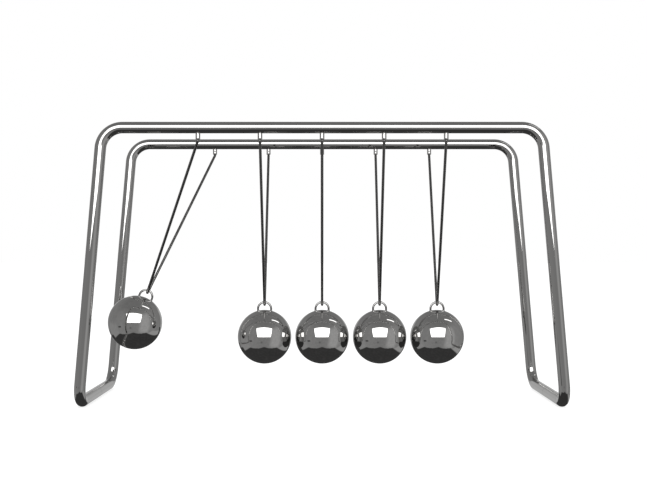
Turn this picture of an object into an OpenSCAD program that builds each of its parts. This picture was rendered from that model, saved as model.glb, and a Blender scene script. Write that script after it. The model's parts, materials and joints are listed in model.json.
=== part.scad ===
// Newton's cradle: five steel balls hung on V-shaped lines between two bent-rod hoops.
// The origin is the middle of the footprint, on the surface that the cradle stands on.
// X runs along the row of balls, Y from the front hoop to the rear hoop, and Z is up.

/* [Frame] */
// Overall width across the two feet
frame_width = 190.8; // [180:0.2:230]
// Overall height, from the surface to the top of the rails
frame_height = 110; // [105:0.5:130]
// Distance between the axes of the front and rear rails
rail_spacing = 64; // [50:0.5:90]
// Diameter of the bent rod
rod_d = 4.4; // [3.6:0.1:6]
// Outward lean of each leg, in degrees
leg_splay = 4.9; // [0:0.1:6]
// Centreline radius of the bends between a rail and its legs
top_bend_r = 8.5; // [6:0.5:14]
// Centreline radius of the bends between a leg and its foot
foot_bend_r = 7.5; // [5:0.5:12]
// Diameter of the dowels that join the hoops in the middle of each foot
dowel_d = 2.2; // [1.5:0.1:2.8]
// Length of each dowel
dowel_length = 12; // [8:1:20]

/* [Balls] */
// Number of balls
ball_count = 5; // [3:2:5]
// Diameter of each ball
ball_d = 22.2; // [18:0.1:22.5]
// Distance between the centres of two hanging balls
ball_pitch = 23.75; // [23.5:0.05:26]
// Distance from the swing axis to the centre of a ball
swing_length = 77.7; // [70:0.1:85]
// Angle at which the first ball is held out, in degrees
first_ball_angle = 22.5; // [0:0.5:45]

/* [Suspension] */
// Diameter of each suspension line
line_d = 1.1; // [0.7:0.05:1.2]
// Outside diameter of the ferrules
ferrule_d = 1.8; // [1.5:0.05:2.2]
// Length of each ferrule that shows below its rail
ferrule_drop = 2.4; // [1.5:0.1:4]
// Length of each ferrule that is pressed into its rail
ferrule_grip = 2.5; // [1.5:0.1:3]
// Diameter of the wire of the eye on each ball
eye_wire_d = 0.9; // [0.6:0.05:1.1]
// Centreline radius of the arch of the eye
eye_r = 2.7; // [2:0.1:4]
// Height of the centre of the arch above the centre of the ball
eye_rise = 11.55; // [11.4:0.05:13]
// Height of the ends of the eye above the centre of the ball
eye_root = 7.2; // [5:0.1:9]

/* [Hidden] */
// Distance from the mouth of a ferrule down to the swing axis, so that a swung line clears the mouth
axis_drop = 0.32 * line_d;
// Distance from the swing axis up to the clamped end of the line
line_end_gap = line_d / 2 + 0.05;
// Play between a line and the eye that it passes under
eye_play = 0.02;
// Extra length of a cutter that opens through a surface
cut = 1;
// How much thinner all round a straight length is than the bends at its ends
relief = 0.01;
// Distance that a straight length runs into the bend at its end
lap = 0.05;

rail_z = frame_height - rod_d / 2;
foot_z = rod_d / 2;
foot_x = (frame_width - rod_d) / 2;
rail_x = foot_x - (rail_z - foot_z) * tan(leg_splay);
top_turn = 90 - leg_splay;
top_tangent = top_bend_r * tan(top_turn / 2);
leg_length = (rail_z - foot_z) / cos(leg_splay) - top_tangent - foot_bend_r;
rail_y = rail_spacing / 2;

mouth_z = rail_z - rod_d / 2 - ferrule_drop;
axis_z = mouth_z - axis_drop;

// The line leaves the swing axis, turns under the bar of the eye and rises again
bar_drop = swing_length - eye_rise - eye_r;
turn_r = (eye_wire_d + line_d) / 2 + eye_play;
slant_length = norm([rail_y, bar_drop]);
line_slant = atan2(rail_y, bar_drop) - asin(turn_r / slant_length);
line_straight = sqrt(slant_length * slant_length - turn_r * turn_r);

balls = [1:ball_count];
sides = [0, 1];

function ball_x(k) = (k - (ball_count + 1) / 2) * ball_pitch;
function numbered(name) = [for (k = balls) str(name, "_", k)];

$fn = 96;

// A straight length between two bends, from the origin up, running a little way into each
module straight(diameter, length, end_lap = lap) {
    translate([0, 0, -lap])
        cylinder(d = diameter - 2 * relief, h = length + lap + end_lap);
}

// A bend in the rod, turning about Z from the X axis
module rod_bend(radius, angle) {
    rotate_extrude(angle = angle)
        translate([radius, 0])
            circle(d = rod_d);
}

// The right-hand leg with its two bends and half of its foot, for a hoop in the plane y = 0
module leg_and_foot() {
    translate([rail_x - top_tangent, 0, rail_z - top_bend_r])
        rotate([90, 0, 0])
            rotate([0, 0, leg_splay])
                rod_bend(top_bend_r, top_turn);
    translate([foot_x, 0, foot_z])
        rotate([0, -leg_splay, 0]) {
            translate([0, 0, foot_bend_r])
                straight(rod_d, leg_length);
            translate([0, foot_bend_r, foot_bend_r])
                rotate([0, 90, 0])
                    rotate([0, 0, -90])
                        rod_bend(foot_bend_r, 90);
            translate([0, foot_bend_r, 0])
                rotate([-90, 0, 0])
                    straight(rod_d, rail_y - foot_bend_r, end_lap = 0);
        }
}

// One hoop, drilled for its ferrules and, in the ends of its feet, for the dowels
module hoop() {
    difference() {
        union() {
            translate([top_tangent - rail_x, 0, rail_z])
                rotate([0, 90, 0])
                    straight(rod_d, 2 * (rail_x - top_tangent));
            for (side = sides)
                mirror([side, 0, 0])
                    leg_and_foot();
        }
        for (k = balls)
            translate([ball_x(k), 0, mouth_z])
                cylinder(d = ferrule_d, h = ferrule_drop + ferrule_grip);
        for (side = sides)
            mirror([side, 0, 0])
                translate([foot_x, rail_y - dowel_length / 2, foot_z])
                    rotate([-90, 0, 0])
                        cylinder(d = dowel_d, h = dowel_length / 2 + cut);
    }
}

module front_hoop() {
    color("silver")
        translate([0, -rail_y, 0])
            hoop();
}

module rear_hoop() {
    color("silver")
        translate([0, rail_y, 0])
            mirror([0, 1, 0])
                hoop();
}

// A dowel hidden in the middle of a foot: side is -1 on the left and 1 on the right
module dowel(side) {
    color("darkgray")
        translate([side * foot_x, -dowel_length / 2, foot_z])
            rotate([-90, 0, 0])
                cylinder(d = dowel_d, h = dowel_length);
}

// A tube pressed into the underside of a rail: end is -1 at the front and 1 at the rear
module ferrule(k, end) {
    length = ferrule_drop + ferrule_grip;
    color("gainsboro")
        translate([ball_x(k), end * rail_y, mouth_z])
            difference() {
                cylinder(d = ferrule_d, h = length);
                translate([0, 0, -cut])
                    cylinder(d = line_d, h = length + 2 * cut);
            }
}

// The two ends of one line, clamped inside its ferrules
module line_ends(k) {
    start_z = axis_z + line_end_gap;
    color("dimgray")
        for (end = [-1, 1])
            translate([ball_x(k), end * rail_y, start_z])
                cylinder(d = line_d, h = mouth_z + ferrule_drop + ferrule_grip - start_z);
}

// Puts what is drawn about the swing axis at ball k, at the angle of its rest
module swung(k) {
    translate([ball_x(k), 0, axis_z])
        rotate([0, k == 1 ? first_ball_angle : 0, 0])
            children();
}

// The free part of one line: two straight runs from the swing axis and the turn under the eye
module line(k) {
    color("dimgray")
        swung(k) {
            translate([0, 0, -bar_drop])
                rotate([90, 0, 90])
                    rotate([0, 0, line_slant - 180])
                        rotate_extrude(angle = 180 - 2 * line_slant)
                            translate([turn_r, 0])
                                circle(d = line_d);
            for (side = sides)
                mirror([0, side, 0])
                    translate([0, turn_r * cos(line_slant), -bar_drop - turn_r * sin(line_slant)])
                        rotate([-line_slant, 0, 0]) {
                            straight(line_d, line_straight, end_lap = 0);
                            translate([0, 0, line_straight])
                                sphere(d = line_d);
                        }
        }
}

// Draws about the centre of ball k
module at_ball(k) {
    swung(k)
        translate([0, 0, -swing_length])
            children();
}

// The wire eye on top of a ball: an arch on two legs that are pressed into the ball
module eye(k) {
    color("gainsboro")
        at_ball(k) {
            translate([0, 0, eye_rise])
                rotate([90, 0, 0])
                    rotate_extrude(angle = 180)
                        translate([eye_r, 0])
                            circle(d = eye_wire_d);
            for (side = [-1, 1])
                translate([side * eye_r, 0, eye_root])
                    cylinder(d = eye_wire_d, h = eye_rise - eye_root);
        }
}

module ball(k) {
    color("whitesmoke")
        at_ball(k)
            difference() {
                sphere(d = ball_d);
                for (side = [-1, 1])
                    translate([side * eye_r, 0, eye_root])
                        cylinder(d = eye_wire_d, h = ball_d / 2);
            }
}

front_hoop();
rear_hoop();
dowel(-1);  // left_dowel
dowel(1);  // right_dowel
for (k = balls) {
    ferrule(k, -1);
    ferrule(k, 1);
    line_ends(k);
    line(k);
    eye(k);
    ball(k);
}
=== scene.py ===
import json
from math import atan2, cos, pi, radians, sin, sqrt, tan

import bmesh
import bpy
from mathutils import Matrix, Vector


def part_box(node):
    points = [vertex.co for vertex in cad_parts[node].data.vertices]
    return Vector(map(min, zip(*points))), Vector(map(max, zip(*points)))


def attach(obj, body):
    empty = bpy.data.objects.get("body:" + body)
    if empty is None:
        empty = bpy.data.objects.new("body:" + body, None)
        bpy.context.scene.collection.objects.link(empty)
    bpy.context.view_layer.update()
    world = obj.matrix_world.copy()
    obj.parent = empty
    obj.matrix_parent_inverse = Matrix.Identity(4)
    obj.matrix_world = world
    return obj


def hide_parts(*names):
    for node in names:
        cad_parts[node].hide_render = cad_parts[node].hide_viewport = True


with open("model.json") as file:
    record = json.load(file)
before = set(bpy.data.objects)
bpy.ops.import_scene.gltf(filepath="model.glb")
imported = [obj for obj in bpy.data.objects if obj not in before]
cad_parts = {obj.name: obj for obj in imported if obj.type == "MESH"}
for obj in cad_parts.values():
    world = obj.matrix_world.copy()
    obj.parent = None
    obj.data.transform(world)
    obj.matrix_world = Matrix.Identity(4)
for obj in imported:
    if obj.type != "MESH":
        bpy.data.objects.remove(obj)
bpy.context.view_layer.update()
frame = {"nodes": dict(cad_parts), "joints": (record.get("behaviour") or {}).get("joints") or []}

MM = 0.001
X, Y, Z = Vector((1, 0, 0)), Vector((0, 1, 0)), Vector((0, 0, 1))
BALLS = range(1, 1 + sum(name.startswith("ball_") for name in frame["nodes"]))
HANGING = 3  # the number of a ball that hangs straight down


# ---------------------------------------------------------------- sizes that come from the frame

def size(name):
    low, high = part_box(name)
    return high - low


def centre(name):
    low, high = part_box(name)
    return (high + low) / 2


def pivot(k):
    """The point on ball k's swing axis that is in the middle of the cradle."""
    joint = next(j for j in frame["joints"] if j["child"] == f"pendulum_{k}")
    return Vector(joint["pos_m"])


def swing_angle(k):
    """How far ball k is held out to the left at rest."""
    arm = pivot(k) - centre(f"ball_{k}")
    return atan2(arm.x, arm.z)


BALL_RADIUS = size(f"ball_{HANGING}").x / 2
SWING_LENGTH = (pivot(HANGING) - centre(f"ball_{HANGING}")).z
LINE_RADIUS = size(f"line_{HANGING}").x / 2
EYE_WIRE_RADIUS = size(f"eye_{HANGING}").y / 2
EYE_ARCH_RADIUS = size(f"eye_{HANGING}").x / 2 - EYE_WIRE_RADIUS
EYE_LOW, EYE_HIGH = (corner.z - centre(f"ball_{HANGING}").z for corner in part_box(f"eye_{HANGING}"))
EYE_ARCH_HEIGHT = EYE_HIGH - EYE_WIRE_RADIUS - EYE_ARCH_RADIUS
FERRULE_RADIUS = size("front_ferrule_1").x / 2
FERRULE_LOW, FERRULE_HIGH = (corner.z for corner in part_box("front_ferrule_1"))
RAIL_Y = centre("rear_ferrule_1").y
ROD_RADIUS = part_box("rear_hoop")[1].y - RAIL_Y
RAIL_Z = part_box("front_hoop")[1].z - ROD_RADIUS
FOOT_X = size("front_hoop").x / 2 - ROD_RADIUS
DOWEL_RADIUS, DOWEL_LENGTH = size("left_dowel").x / 2, size("left_dowel").y

# Sizes of the bent rod that no box gives
LEG_SPLAY = radians(4.9)
TOP_BEND_RADIUS = 8.5 * MM
FOOT_BEND_RADIUS = 7.5 * MM

# Play between a line and the eye that it passes under, as in the CAD model
EYE_PLAY = 0.02 * MM

# Fine detail that is left out of the CAD model
JOINT_CHAMFER = 0.1 * MM  # round the flush joint in the middle of each foot
COUNTERSINK = 0.12 * MM
HOLE_CLEARANCE = 0.01 * MM  # between the legs of an eye and their holes
BORE_CLEARANCE = 0.02 * MM  # between a line and the bore of its ferrule
LIP = 0.14 * MM  # round the mouth of a ferrule
CRIMP_LENGTH = 0.6 * MM
CRIMP_DEPTH = 0.012 * MM
FLARE_LENGTH = 0.4 * MM  # where a ferrule enters its rail
FLARE_WIDTH = 0.16 * MM
EYE_TIP_CHAMFER = 0.12 * MM
WIRES = 9
WIRE_GROOVE = 0.025  # as a share of the line's radius
WIRE_PITCH = 8 * MM

# How many sides each kind of ring has
ROD_SIDES = 48
FERRULE_SIDES = 40
HOLE_SIDES = 40
EYE_SIDES = 28
SIDES_PER_WIRE = 8


# ---------------------------------------------------------------- meshes built from rings

def ring_side(axis, earlier=None):
    """A unit vector square to axis, turned as little as can be from the earlier ring's."""
    start = earlier or (X if abs(axis.x) < 0.9 else Y)
    return (start - axis * start.dot(axis)).normalized()


def plain(angle):
    return 1.0


def ring_mesh(name, rings, sides, outline=plain, closed=False):
    """A skin over rings, each (centre, axis, radius, twist). Its ends are capped, or if it is closed, the
    last ring joins the first. outline gives the share of the radius at an angle round the ring."""
    points, faces, side = [], [], None
    for middle, axis, radius, twist in rings:
        side = ring_side(axis, side)
        across = axis.cross(side)
        for step in range(sides):
            angle = 2 * pi * step / sides
            reach = radius * outline(angle)
            points.append(middle + (side * cos(angle + twist) + across * sin(angle + twist)) * reach)
    count = len(rings)
    for ring in range(count if closed else count - 1):
        here, after = ring * sides, (ring + 1) % count * sides
        for step in range(sides):
            beside = (step + 1) % sides
            faces.append((here + step, here + beside, after + beside, after + step))
    if not closed:
        faces.append(tuple(reversed(range(sides))))
        faces.append(tuple(range((count - 1) * sides, count * sides)))
    mesh = bpy.data.meshes.new(name)
    mesh.from_pydata(points, [], faces)
    mesh.shade_smooth()
    mesh.set_sharp_from_angle(angle=radians(35))
    return mesh


def straight(start, end, radius, steps=1):
    """Rings from start to just before end. Close rings at both ends keep the shading of the run true."""
    axis = (end - start).normalized()
    longest_margin = 0.4 * MM
    margin = min(longest_margin, (end - start).length / 4)
    first, last = start + axis * margin, end - axis * margin
    places = [start] + [first.lerp(last, step / steps) for step in range(steps + 1)]
    return [(place, axis, radius, 0.0) for place in places]


def bend(start, heading, toward, bend_radius, angle, radius, step=radians(3)):
    """Rings round a bend that begins at start. It turns from heading toward a vector square to it.
    Gives the rings, and the point and direction where it ends."""
    hub = start + toward * bend_radius
    steps = max(2, round(angle / step))

    def at(turned):
        axis = heading * cos(turned) + toward * sin(turned)
        return hub - (toward * cos(turned) - heading * sin(turned)) * bend_radius, axis

    rings = [(*at(angle * i / steps), radius, 0.0) for i in range(steps)]
    return rings, *at(angle)


# ---------------------------------------------------------------- the pieces

def half_hoop():
    """Rings of the right-hand half of the front hoop, from the middle of its rail to the middle of the foot
    and on into the dowel's socket."""
    rail_corner = FOOT_X - (RAIL_Z - ROD_RADIUS) * tan(LEG_SPLAY)
    top_turn = pi / 2 - LEG_SPLAY
    set_back = TOP_BEND_RADIUS * tan(top_turn / 2)
    bend_start = Vector((rail_corner - set_back, -RAIL_Y, RAIL_Z))
    rings = straight(Vector((0, -RAIL_Y, RAIL_Z)), bend_start, ROD_RADIUS)
    turn, place, down = bend(bend_start, X, -Z, TOP_BEND_RADIUS, top_turn, ROD_RADIUS)
    rings += turn
    foot = Vector((FOOT_X, -RAIL_Y, ROD_RADIUS))
    foot_start = foot - down * FOOT_BEND_RADIUS
    rings += straight(place, foot_start, ROD_RADIUS)
    turn, place, _ = bend(foot_start, down, Y, FOOT_BEND_RADIUS, pi / 2, ROD_RADIUS)
    rings += turn
    tip = Vector((FOOT_X, 0, ROD_RADIUS))
    rings += straight(place, tip - Y * JOINT_CHAMFER, ROD_RADIUS)
    rings += [(tip - Y * JOINT_CHAMFER, Y, ROD_RADIUS, 0.0), (tip, Y, ROD_RADIUS - JOINT_CHAMFER, 0.0)]
    socket = tip - Y * DOWEL_LENGTH / 2
    rings += [(tip, Y, DOWEL_RADIUS, 0.0), (socket, Y, DOWEL_RADIUS, 0.0)]
    return rings


def hoop_mesh():
    """The front hoop. Both ends of the rod are chamfered and drilled for the dowels."""
    right = half_hoop()
    left = [(Vector((-place.x, place.y, place.z)), Vector((axis.x, -axis.y, -axis.z)), radius, twist)
            for place, axis, radius, twist in reversed(right)]
    return ring_mesh("hoop", left[:-1] + right, ROD_SIDES)


def ferrule_mesh():
    """A tube with a rounded lip, a shallow crimp and a small flare where it enters the rail.
    Its origin is the middle of its mouth, and it rises along Z."""
    bore = LINE_RADIUS + BORE_CLEARANCE
    chamfer_height, chamfer_width = 0.1 * MM, 0.08 * MM
    length = FERRULE_HIGH - FERRULE_LOW
    shown = RAIL_Z - ROD_RADIUS - FERRULE_LOW
    crimp_height = 0.4 * shown
    halfway_round_lip = (0.04 * MM, FERRULE_RADIUS - 0.45 * LIP)
    outside = [(0, FERRULE_RADIUS - LIP), halfway_round_lip, (LIP, FERRULE_RADIUS)]
    steps = 12
    for step in range(steps + 1):
        along = step / steps - 0.5
        height = crimp_height + along * CRIMP_LENGTH
        outside.append((height, FERRULE_RADIUS - CRIMP_DEPTH * cos(pi * along) ** 2))
    steps = 6
    for step in range(steps + 1):
        rise = step / steps
        height = shown + (rise - 0.5) * FLARE_LENGTH
        outside.append((height, FERRULE_RADIUS + FLARE_WIDTH * rise ** 3))
    outside.append((shown + 0.75 * FLARE_LENGTH, FERRULE_RADIUS))
    outside.append((length, FERRULE_RADIUS))
    inside = [(length, bore), (chamfer_height, bore), (0, bore + chamfer_width)]
    rings = [(Z * height, Z, radius, 0.0) for height, radius in outside + inside]
    return ring_mesh("ferrule", rings, FERRULE_SIDES, closed=True)


def eye_mesh():
    """The wire eye: an arch on two legs, with the ball's centre as its origin."""
    foot = Vector((-EYE_ARCH_RADIUS, 0, EYE_LOW))
    shoulder = Vector((-EYE_ARCH_RADIUS, 0, EYE_ARCH_HEIGHT))
    end = Vector((EYE_ARCH_RADIUS, 0, EYE_LOW))
    chamfer = Z * EYE_TIP_CHAMFER
    tip_radius = EYE_WIRE_RADIUS - EYE_TIP_CHAMFER
    rings = [(foot, Z, tip_radius, 0.0)]
    rings += straight(foot + chamfer, shoulder, EYE_WIRE_RADIUS, steps=8)
    arch, place, down = bend(shoulder, Z, X, EYE_ARCH_RADIUS, pi, EYE_WIRE_RADIUS, step=radians(4))
    rings += arch + straight(place, end + chamfer, EYE_WIRE_RADIUS, steps=8)
    rings += [(end + chamfer, down, EYE_WIRE_RADIUS, 0.0), (end, down, tip_radius, 0.0)]
    return ring_mesh("eye", rings, EYE_SIDES)


def strand_outline(angle):
    """The outline of a drawn strand, as a share of its radius: flattened wires with grooves between."""
    offset = (angle * WIRES / pi + 1) % 2 - 1
    return 1 - WIRE_GROOVE * offset ** 4


def line_spine():
    """Points and directions along one free line, with the swing axis as its origin."""
    bar_drop = SWING_LENGTH - EYE_ARCH_HEIGHT - EYE_ARCH_RADIUS
    bar = -Z * bar_drop
    turn_radius = EYE_WIRE_RADIUS + LINE_RADIUS + EYE_PLAY
    length = sqrt(RAIL_Y ** 2 + bar_drop ** 2 - turn_radius ** 2)
    slant = atan2(RAIL_Y, bar_drop) - atan2(turn_radius, length)
    spacing = WIRE_PITCH / 24
    steps = round(length / spacing)
    runs = []
    for side in (-1, 1):
        away = Vector((0, side * cos(slant), -sin(slant)))
        up = Vector((0, side * sin(slant), cos(slant)))
        low = bar + away * turn_radius
        run = [(low + up * length * i / steps, up * side) for i in range(steps + 1)]
        runs.append(run if side > 0 else run[::-1])
    sweep = pi - 2 * slant
    steps = round(sweep * turn_radius / spacing)
    turn = []
    for i in range(1, steps):
        angle = pi + slant + sweep * i / steps
        out = Vector((0, cos(angle), sin(angle)))
        turn.append((bar + out * turn_radius, Vector((0, -out.z, out.y))))
    return runs[0] + turn + runs[1]


def line_mesh():
    """One free line: wires twisted together, and rounded off where they flex below the ferrules."""
    spine = line_spine()
    walked, rings = 0.0, []
    for i, (place, axis) in enumerate(spine):
        walked += (place - spine[max(0, i - 1)][0]).length
        rings.append((place, axis, LINE_RADIUS, 2 * pi * walked / WIRE_PITCH))
    caps = []
    for (place, axis, _, twist), outward in ((rings[0], -1), (rings[-1], 1)):
        cap = []
        for angle in (radians(22), radians(44), radians(66), radians(84)):
            middle = place + axis * outward * LINE_RADIUS * sin(angle)
            cap.append((middle, axis, LINE_RADIUS * cos(angle), twist))
        caps.append(cap)
    first_cap, last_cap = caps
    return ring_mesh("line", first_cap[::-1] + rings + last_cap, SIDES_PER_WIRE * WIRES, strand_outline)


def eye_hole_cutter():
    """The shape of both countersunk holes in a ball for the legs of its eye."""
    bore = EYE_WIRE_RADIUS + HOLE_CLEARANCE
    surface = sqrt(BALL_RADIUS ** 2 - EYE_ARCH_RADIUS ** 2)
    below_leg = 0.1 * MM
    profile = ((EYE_LOW - below_leg, bore), (surface - COUNTERSINK, bore),
               (surface + 2 * COUNTERSINK, bore + 3 * COUNTERSINK))
    hole = ring_mesh("eye_hole", [(Z * height, Z, radius, 0.0) for height, radius in profile], HOLE_SIDES)
    points, faces = [], []
    for side in (-1, 1):
        start = len(points)
        points += [vertex.co + X * side * EYE_ARCH_RADIUS for vertex in hole.vertices]
        faces += [[start + vertex for vertex in face.vertices] for face in hole.polygons]
    both = bpy.data.meshes.new("eye_holes")
    both.from_pydata(points, [], faces)
    return both


def ball_mesh():
    """A ball with two countersunk holes. Its polished skin shades as a true sphere, up to the rims."""
    shape = bmesh.new()
    bmesh.ops.create_icosphere(shape, subdivisions=6, radius=BALL_RADIUS)
    sphere = bpy.data.meshes.new("ball")
    shape.to_mesh(sphere)
    shape.free()
    mesh = cut(sphere, eye_hole_cutter())
    mesh.shade_smooth()
    mesh.set_sharp_from_angle(angle=radians(30))
    normals = [normal.vector.copy() for normal in mesh.corner_normals]
    tolerance = 0.01 * MM
    for face in mesh.polygons:
        places = [mesh.vertices[vertex].co for vertex in face.vertices]
        if all(abs(place.length - BALL_RADIUS) < tolerance for place in places):
            for corner, place in zip(face.loop_indices, places):
                normals[corner] = place.normalized()
    mesh.normals_split_custom_set(normals)
    return mesh


def cut(mesh, cutter):
    """The mesh with the cutter taken away."""
    body, tool = (bpy.data.objects.new(data.name, data) for data in (mesh, cutter))
    for obj in (body, tool):
        bpy.context.scene.collection.objects.link(obj)
    taken = body.modifiers.new("cut", "BOOLEAN")
    taken.object = tool
    taken.solver = "EXACT"
    bpy.context.view_layer.update()
    evaluated = body.evaluated_get(bpy.context.evaluated_depsgraph_get())
    result = bpy.data.meshes.new_from_object(evaluated)
    for obj in (body, tool):
        bpy.data.objects.remove(obj)
    return result


# ---------------------------------------------------------------- shader nodes

NOISE_RANGE = (0.3, 0.7)  # where nearly all values of a noise lie


def node(tree, kind, inputs=None, **settings):
    """Adds a node with its settings. Each input is a value or the output of another node."""
    made = tree.nodes.new(kind)
    for name, value in settings.items():
        setattr(made, name, value)
    for name, value in (inputs or {}).items():
        if isinstance(value, bpy.types.NodeSocket):
            tree.links.new(value, made.inputs[name])
        else:
            made.inputs[name].default_value = value
    return made


def math_of(tree, operation, *values):
    return node(tree, "ShaderNodeMath", dict(enumerate(values)), operation=operation).outputs["Value"]


def ranged(tree, value, low, high, to_low=0.0, to_high=1.0):
    """Maps a value from the range low to high, and no further, onto another range."""
    inputs = {"Value": value, "From Min": low, "From Max": high, "To Min": to_low, "To Max": to_high}
    return node(tree, "ShaderNodeMapRange", inputs).outputs["Result"]


def within(tree, value, low, high, soft):
    """1 where the value is from low to high, falling to 0 over a soft edge."""
    rising = ranged(tree, value, low - soft, low + soft)
    falling = ranged(tree, value, high - soft, high + soft, 1.0, 0.0)
    return math_of(tree, "MULTIPLY", rising, falling)


def blend(tree, share, first, second):
    """first where share is 0, second where it is 1. The two are plain numbers."""
    return node(tree, "ShaderNodeMix", {0: share, 2: first, 3: second}).outputs[0]


def tones(tree, value, stops):
    """A grey ramp through (position, grey) stops."""
    made = node(tree, "ShaderNodeValToRGB", {"Fac": value})
    elements = made.color_ramp.elements
    while len(elements) < len(stops):
        elements.new(0.5)
    for element, (position, grey) in zip(elements, stops):
        element.position = position
        element.color = (grey, grey, grey, 1.0)
    return made.outputs["Color"]


def noise(tree, place, scale, detail=2.0):
    inputs = {"Vector": place, "Scale": scale, "Detail": detail}
    return node(tree, "ShaderNodeTexNoise", inputs).outputs["Fac"]


# ---------------------------------------------------------------- materials

WHITE = (1.0, 1.0, 1.0, 1.0)
METAL_TINT = (1.0, 0.99, 0.975)
# The smears and the drift of tone: how fine they are, the range of a noise over which a smear grows, and how
# far a tone drifts
SMEAR_SCALE = 90
SMEARED = (0.45, 0.75)
DRIFT_SCALE = 35
DARKEST, LIGHTEST = 0.96, 1.03
# The scratches: how many times longer than wide they are, how each set of them is turned, in degrees, the
# peaks of a noise that they follow, and what they add to the roughness and to the tone
SCRATCH_STRETCH = 40
SCRATCH_TURNS = ((0, 0, 0), (63, 10, 25), (20, 95, 40))
SCRATCH_PEAKS = (0.72, 0.80)
SCRATCH_ROUGHNESS = 0.04
SCRATCH_TONE = -0.03
FLOOR_SCALE = 4.0
FLOOR_TONES = ((0.3, 0.34), (0.7, 0.36))
FLOOR_GLOW = 0.75


def new_material(name):
    """A new material with a Principled shader. Gives the material, its node tree, the shader, and the
    coordinates of the piece that wears it."""
    made = bpy.data.materials.new(name)
    made.use_nodes = True
    tree = made.node_tree
    tree.nodes.clear()
    shader = node(tree, "ShaderNodeBsdfPrincipled")
    node(tree, "ShaderNodeOutputMaterial", {"Surface": shader.outputs["BSDF"]})
    place = node(tree, "ShaderNodeTexCoord").outputs["Object"]
    return made, tree, shader, place


def scratches(tree, place, width):
    """Hairline scratches in several directions: 1 along each scratch and 0 elsewhere."""
    most = 0.0
    for number, turn in enumerate(SCRATCH_TURNS):
        inputs = {
            "Vector": place,
            "Location": (3.1 * number, 1.7 * number, 0.0),
            "Rotation": [radians(angle) for angle in turn],
            "Scale": (1 / width, 1 / width, 1 / (width * SCRATCH_STRETCH)),
        }
        turned = node(tree, "ShaderNodeMapping", inputs, vector_type="POINT").outputs["Vector"]
        lines = ranged(tree, noise(tree, turned, 1.0, detail=1.0), *SCRATCH_PEAKS)
        most = math_of(tree, "MAXIMUM", most, lines)
    return most


def polished(name, tone, smooth, dull, scratch_width, scratch_depth):
    """Polished metal of one tone. It has faint smears, from a smooth roughness to a dull one, hairline
    scratches and a slight drift of tone."""
    made, tree, shader, place = new_material(name)
    smears = ranged(tree, noise(tree, place, SMEAR_SCALE, detail=3), *SMEARED)
    hairlines = scratches(tree, place, scratch_width)
    roughness = blend(tree, smears, smooth, dull)
    roughness = math_of(tree, "MULTIPLY_ADD", hairlines, SCRATCH_ROUGHNESS, roughness)
    tree.links.new(roughness, shader.inputs["Roughness"])
    drift = noise(tree, place, DRIFT_SCALE)
    drift = ranged(tree, drift, *NOISE_RANGE, tone * DARKEST, tone * LIGHTEST)
    worn = math_of(tree, "MULTIPLY_ADD", hairlines, SCRATCH_TONE, drift)
    colour = node(tree, "ShaderNodeVectorMath", {0: METAL_TINT, "Scale": worn}, operation="SCALE")
    tree.links.new(colour.outputs["Vector"], shader.inputs["Base Color"])
    relief = {"Height": hairlines, "Strength": 1.0, "Distance": scratch_depth}
    bump = node(tree, "ShaderNodeBump", relief, invert=True)
    tree.links.new(bump.outputs["Normal"], shader.inputs["Normal"])
    shader.inputs["Metallic"].default_value = 1.0
    return made


def floor_material():
    made, tree, shader, place = new_material("pale_floor")
    mottled = tones(tree, noise(tree, place, FLOOR_SCALE), FLOOR_TONES)
    tree.links.new(mottled, shader.inputs["Base Color"])
    shader.inputs["Emission Color"].default_value = WHITE
    shader.inputs["Emission Strength"].default_value = FLOOR_GLOW
    shader.inputs["Roughness"].default_value = 0.9
    shader.inputs["Specular IOR Level"].default_value = 0.0
    return made


# ---------------------------------------------------------------- studio

# Directions in the mirrored room are a bearing, from the front to the right, and a height, in degrees.

# The tones of its walls, at shares of the way round: from behind, by the left, the front and the right
WALL_TONES = ((0.0, 0.2), (0.12, 0.27), (0.25, 0.26), (0.35, 0.29), (0.5, 0.26), (0.6, 0.28), (0.75, 0.30),
              (0.88, 0.26), (1.0, 0.2))
CEILING_TONE = 0.215
CEILING_HEIGHTS = (30, 60)  # where the walls fade into it
# A faint mottle over the walls, the ceiling and the patches: how fine it is, and how far it changes a tone
MOTTLE_SCALE = 7.0
MOTTLE = (0.93, 1.07)
# Patches on the walls, each with a range of bearings, a range of heights, a soft edge and a tone. The last
# two are one pale stretch of the wall behind the cradle, where the bearing passes from 180 to -180.
ROOM_PATCHES = (
    ((-125, -72), (-50, -4), 6, 0.33),
    ((30, 74), (-40, 34), 7, 0.43),
    ((-66, -53), (-16, -11), 1.5, 0.05),
    ((-14, -6), (-23, -16), 2, 0.17),
    ((150, 190), (-17, 14), 4, 0.5),
    ((-190, -150), (-17, 14), 4, 0.5),
)
# Rectangles of dark and light ground: how far they reach across and back, as multiples of how far down
# they lie. Both sides of each are swept back, by the taper times how far across they are.
GROUND = (((-1.35, 1.2), (-1.2, 2.5)), ((-1.9, 1.0), (0.1, 3.3)), ((-3.0, 3.0), (1.6, 3.3)))
GROUND_TONES = (0.045, 0.06)
GROUND_MOTTLED = (0.45, 0.75)  # the range of the mottle that goes from one tone to the other
LIGHT_GROUND = (((0.9, 2.0), (-1.0, 1.5)),)
LIGHT_GROUND_TONE = 0.40
GROUND_TAPER = 0.6
GROUND_EDGE = 0.06
GROUND_RIPPLE = 0.06
# The directions of the strip lamp's two ends
STRIP_LAMP = ((89, 66.6), (104.3, 43.7))
STRIP_HALF_WIDTH = radians(2.2)
STRIP_SIDE_EDGE, STRIP_END_EDGE = 0.006, 0.01
STRIP_GLOW = 2.4
# The middles of the softbox's lower and upper edges
SOFTBOX_LOW = Vector((0.0, -1.0, 0.075))
SOFTBOX_HIGH = Vector((0.0, -0.62, 0.615))
SOFTBOX_WIDTH = 1.03
SOFTBOX_GLOW = 3.0
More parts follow.
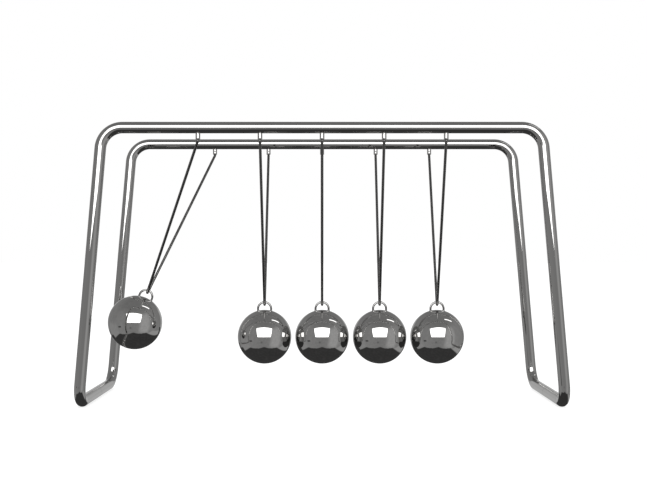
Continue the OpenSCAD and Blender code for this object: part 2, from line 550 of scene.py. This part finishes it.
# How brightly the white surroundings light dull surfaces. The camera sees them as plain white.
SKY_GLOW = 1.08
FLOOR_REACH = 4.0


def heading(bearing, height):
    across, up = radians(bearing), radians(height)
    return Vector((sin(across) * cos(up), -cos(across) * cos(up), sin(up)))


def strip_lamp(tree, direction):
    """1 inside a narrow lamp that runs between two directions."""
    start, end = (heading(*corner) for corner in STRIP_LAMP)
    middle = (start + end).normalized()
    square = start.cross(end).normalized()
    along = square.cross(middle)
    reach = sin(start.angle(end) / 2)

    def part(axis):
        product = node(tree, "ShaderNodeVectorMath", {0: direction, 1: axis}, operation="DOT_PRODUCT")
        return product.outputs["Value"]

    inside = math_of(tree, "MULTIPLY",
                     within(tree, part(square), -STRIP_HALF_WIDTH, STRIP_HALF_WIDTH, STRIP_SIDE_EDGE),
                     within(tree, part(along), -reach, reach, STRIP_END_EDGE))
    return math_of(tree, "MULTIPLY", inside, math_of(tree, "GREATER_THAN", part(middle), 0.0))


def ground(tree, rectangles, x, y, z, ripple):
    """1 where a downward direction meets one of the rectangles of ground."""
    depth = math_of(tree, "MAXIMUM", math_of(tree, "MULTIPLY", z, -1.0), 0.001)
    across, back = (math_of(tree, "DIVIDE", part, depth) for part in (x, y))
    back = math_of(tree, "ADD", back, ripple)
    back = math_of(tree, "MULTIPLY_ADD", math_of(tree, "ABSOLUTE", across), -GROUND_TAPER, back)
    covered = 0.0
    for (left, right), (near, far) in rectangles:
        inside = math_of(tree, "MULTIPLY", within(tree, across, left, right, GROUND_EDGE),
                         within(tree, back, near, far, GROUND_EDGE))
        covered = math_of(tree, "MAXIMUM", covered, inside)
    return math_of(tree, "MULTIPLY", covered, math_of(tree, "LESS_THAN", z, 0.0))


def room(tree):
    """The tones that polished metal mirrors: ground, walls with patches, a ceiling and a strip lamp."""
    direction = node(tree, "ShaderNodeTexCoord").outputs["Generated"]
    parts = node(tree, "ShaderNodeSeparateXYZ", {"Vector": direction}).outputs
    x, y, z = parts["X"], parts["Y"], parts["Z"]
    bearing = math_of(tree, "DEGREES", math_of(tree, "ARCTAN2", x, math_of(tree, "MULTIPLY", y, -1.0)))
    height = math_of(tree, "DEGREES", math_of(tree, "ARCSINE", z))
    walls = tones(tree, ranged(tree, bearing, -180, 180), WALL_TONES)
    tone = blend(tree, ranged(tree, height, *CEILING_HEIGHTS), walls, CEILING_TONE)
    for (left, right), (low, high), soft, grey in ROOM_PATCHES:
        inside = math_of(tree, "MULTIPLY", within(tree, bearing, left, right, soft),
                         within(tree, height, low, high, soft))
        tone = blend(tree, inside, tone, grey)
    mottle = noise(tree, direction, MOTTLE_SCALE, detail=3)
    tone = math_of(tree, "MULTIPLY", tone, ranged(tree, mottle, *NOISE_RANGE, *MOTTLE))
    ripple = ranged(tree, mottle, *NOISE_RANGE, -GROUND_RIPPLE, GROUND_RIPPLE)
    tone = blend(tree, ground(tree, LIGHT_GROUND, x, y, z, ripple), tone, LIGHT_GROUND_TONE)
    dark = ranged(tree, mottle, *GROUND_MOTTLED, *GROUND_TONES)
    tone = blend(tree, ground(tree, GROUND, x, y, z, ripple), tone, dark)
    return blend(tree, strip_lamp(tree, direction), tone, STRIP_GLOW)


def make_world():
    """White behind the cradle and over the floor. Polished metal mirrors a grey room instead."""
    world = bpy.data.worlds.new("studio")
    world.use_nodes = True
    world.cycles.sampling_method = "NONE"
    bpy.context.scene.world = world
    tree = world.node_tree
    tree.nodes.clear()
    grey = node(tree, "ShaderNodeBackground", {"Color": room(tree)})
    ray = node(tree, "ShaderNodeLightPath").outputs
    strength = blend(tree, ray["Is Camera Ray"], SKY_GLOW, 1.0)
    white = node(tree, "ShaderNodeBackground", {"Color": WHITE, "Strength": strength})
    either = {0: ray["Is Glossy Ray"], 1: white.outputs["Background"], 2: grey.outputs["Background"]}
    seen = node(tree, "ShaderNodeMixShader", either)
    node(tree, "ShaderNodeOutputWorld", {"Surface": seen.outputs["Shader"]})


def make_softbox():
    """The one lamp: a softbox that leans over the cradle from behind the camera."""
    slope = SOFTBOX_HIGH - SOFTBOX_LOW
    data = bpy.data.lights.new("softbox", "AREA")
    data.shape = "RECTANGLE"
    data.size, data.size_y = SOFTBOX_WIDTH, slope.length
    data.energy = SOFTBOX_GLOW * pi * data.size * data.size_y
    lamp = bpy.data.objects.new("softbox", data)
    lamp.location = (SOFTBOX_LOW + SOFTBOX_HIGH) / 2
    lamp.rotation_euler = (atan2(slope.z, slope.y), 0.0, 0.0)
    lamp.visible_camera = False
    bpy.context.scene.collection.objects.link(lamp)


def make_floor():
    """A pale floor, which isn't mirrored in the metal."""
    corners = [(x * FLOOR_REACH, y * FLOOR_REACH, 0) for x, y in ((-1, -1), (1, -1), (1, 1), (-1, 1))]
    mesh = bpy.data.meshes.new("floor")
    mesh.from_pydata(corners, [], [(0, 1, 2, 3)])
    mesh.materials.append(floor_material())
    floor = bpy.data.objects.new("floor", mesh)
    bpy.context.scene.collection.objects.link(floor)
    floor.visible_glossy = False


def make_camera():
    """Level, in front of the cradle. The small shifts put it where the picture has it."""
    data = bpy.data.cameras.new("camera")
    data.lens, data.sensor_width = 58.1, 36.0
    data.shift_x, data.shift_y = 0.0022, -0.0021
    camera = bpy.data.objects.new("camera", data)
    camera.location = (0.0, -0.4314, 0.0615)
    camera.rotation_euler = (pi / 2, 0.0, 0.0)
    bpy.context.scene.collection.objects.link(camera)
    bpy.context.scene.camera = camera


# ---------------------------------------------------------------- the cradle

# Each metal look: its tone, its roughness where smooth and where dull, and the width and the depth of its
# scratches in millimetres
METAL_LOOKS = {
    "frame_chrome_look": (0.57, 0.012, 0.035, 0.10, 0.0001),
    "ball_steel_look": (0.60, 0.008, 0.022, 0.08, 0.00005),
    "eye_steel_look": (0.40, 0.03, 0.08, 0.05, 0.0002),
    "ferrule_chrome_look": (0.64, 0.02, 0.06, 0.05, 0.0002),
    "line_steel_look": (0.22, 0.12, 0.22, 0.03, 0.0002),
    "pin_steel_look": (0.45, 0.2, 0.3, 0.05, 0.002),
}


def add_piece(name, mesh, node_name, body, look, place=Matrix.Identity(4)):
    """A finished piece that stands for one CAD node."""
    piece = bpy.data.objects.new(name, mesh)
    bpy.context.scene.collection.objects.link(piece)
    piece.matrix_world = place
    if not mesh.materials:
        mesh.materials.append(look)
    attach(piece, body)
    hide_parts(node_name)


def build_cradle():
    """Every piece of the cradle. The ends of the lines and the dowels keep their CAD meshes."""
    chrome, steel, eye_look, ferrule_look, line_look, pin_look = (
        polished(name, tone, smooth, dull, scratch_width * MM, scratch_depth * MM)
        for name, (tone, smooth, dull, scratch_width, scratch_depth) in METAL_LOOKS.items())

    hoop, ferrule, line, eye, ball = hoop_mesh(), ferrule_mesh(), line_mesh(), eye_mesh(), ball_mesh()
    half_turn = Matrix.Rotation(pi, 4, "Z")
    add_piece("bent_front_hoop", hoop, "front_hoop", "frame", chrome)
    add_piece("bent_rear_hoop", hoop, "rear_hoop", "frame", chrome, half_turn)
    for k in BALLS:
        for end in ("front", "rear"):
            name = f"{end}_ferrule_{k}"
            mouth = Matrix.Translation((centre(name).x, centre(name).y, FERRULE_LOW))
            add_piece(f"crimped_{name}", ferrule, name, "frame", ferrule_look, mouth)
        body = f"pendulum_{k}"
        hung = Matrix.Translation(pivot(k)) @ Matrix.Rotation(swing_angle(k), 4, "Y")
        at_ball = hung @ Matrix.Translation(-Z * SWING_LENGTH)
        add_piece(f"stranded_line_{k}", line, f"line_{k}", body, line_look, hung)
        add_piece(f"wire_eye_{k}", eye, f"eye_{k}", body, eye_look, at_ball)
        add_piece(f"polished_ball_{k}", ball, f"ball_{k}", body, steel, at_ball)
        frame["nodes"][f"line_ends_{k}"].material_slots[0].material = line_look
    for side in ("left", "right"):
        frame["nodes"][f"{side}_dowel"].material_slots[0].material = pin_look


build_cradle()
make_world()
make_softbox()
make_floor()
make_camera()
bpy.context.scene.view_settings.view_transform = "Standard"
